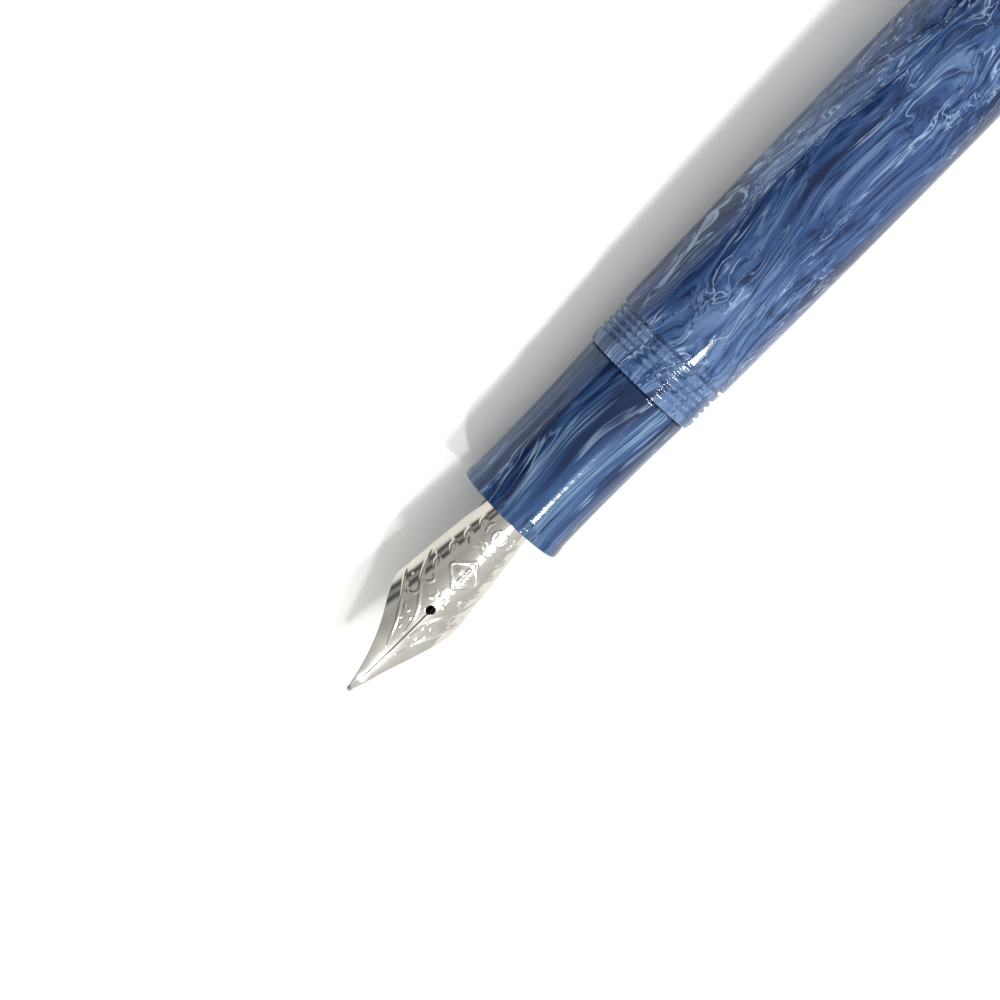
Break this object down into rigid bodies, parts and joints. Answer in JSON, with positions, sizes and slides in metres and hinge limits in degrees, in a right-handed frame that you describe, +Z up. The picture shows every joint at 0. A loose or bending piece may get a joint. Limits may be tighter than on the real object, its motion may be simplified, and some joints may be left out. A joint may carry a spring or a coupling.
{
  "type": "fountain pen",
  "caption": "Fountain pen with engraved nib, marbled grip and barrel, turnable ink converter and clip cap posted on the tail.",
  "frame": {"origin": "bottom centre of the whole posted pen, under its middle, on the surface it lies on", "axes": "+X along the pen's axis from nib to cap end, +Z up with the nib's engraved side up, +Y to the left seen from the tail; the axis is level, 10.35 mm above the origin"},
  "size_m": [0.171, 0.0164, 0.0185],
  "materials": {
    "nib_steel": "polished stainless steel with a fine engraved relief",
    "tipping": "hard bright metal, ground and polished",
    "feed_plastic": "black moulded plastic, satin",
    "section_resin": "blue marbled resin, polished",
    "barrel_resin": "lighter blue marbled resin, polished",
    "seal_rubber": "black rubber, dull",
    "converter_plastic": "black moulded plastic, semi-gloss",
    "converter_clear": "clear moulded tube",
    "converter_metal": "bright plated metal",
    "rod_plastic": "off-white plastic",
    "liner_plastic": "black plastic",
    "trim_steel": "polished bright metal",
    "stud_brass": "turned brass"
  },
  "bodies": {
    "section": {"grip_section": "section_resin"},
    "housing": {"nib_housing": "feed_plastic"},
    "nib_and_feed": {"nib": "nib_steel", "nib_tipping": "tipping", "feed": "feed_plastic"},
    "seal": {"barrel_seal": "seal_rubber"},
    "barrel": {"barrel": "barrel_resin"},
    "cap": {"cap_body": "barrel_resin", "cap_band": "trim_steel", "cap_band_ring_front": "trim_steel", "cap_band_ring_rear": "trim_steel", "inner_cap": "liner_plastic", "clip_ring": "trim_steel", "finial_ring": "trim_steel", "cap_finial": "barrel_resin", "finial_screw": "stud_brass"},
    "clip": {"clip_arm": "trim_steel"},
    "converter": {"converter_collar": "converter_plastic", "converter_tube": "converter_clear", "converter_band": "converter_metal", "rod_guide": "converter_plastic", "knob_retaining_ring": "converter_metal"},
    "knob": {"converter_knob": "converter_plastic"},
    "piston": {"piston_seal": "seal_rubber", "piston_rod": "rod_plastic"}
  },
  "joints": [
    {"name": "nib_unit_draw", "type": "slide", "parent": "section", "child": "housing", "axis": [-1, 0, 0], "range_m": [0, 0.024]},
    {"name": "nib_pull", "type": "slide", "parent": "housing", "child": "nib_and_feed", "axis": [-1, 0, 0], "range_m": [0, 0.0155]},
    {"name": "barrel_turn", "type": "hinge", "parent": "section", "child": "seal", "pos_m": [-0.0419, 0, 0.01035], "axis": [1, 0, 0], "range_deg": [0, 2340]},
    {"name": "barrel_draw", "type": "slide", "parent": "seal", "child": "barrel", "axis": [1, 0, 0], "range_m": [0, 0.075]},
    {"name": "cap_pull", "type": "slide", "parent": "barrel", "child": "cap", "axis": [1, 0, 0], "range_m": [0, 0.026]},
    {"name": "clip_flex", "type": "hinge", "parent": "cap", "child": "clip", "pos_m": [0.0781, 0, 0.0023], "axis": [0, -1, 0], "range_deg": [0, 5], "stiffness_Nm_per_rad": 1},
    {"name": "converter_pull", "type": "slide", "parent": "section", "child": "converter", "axis": [1, 0, 0], "range_m": [0, 0.0065]},
    {"name": "knob_turn", "type": "hinge", "parent": "converter", "child": "knob", "pos_m": [0.0145, 0, 0.01035], "axis": [1, 0, 0], "range_deg": [0, 2880]},
    {"name": "piston_travel", "type": "slide", "parent": "converter", "child": "piston", "axis": [-1, 0, 0], "range_m": [0, 0.0192]}
  ],
  "couplings": [
    {"joint": "knob_turn", "follows": "piston_travel", "rad_per_m": 2618}
  ]
}
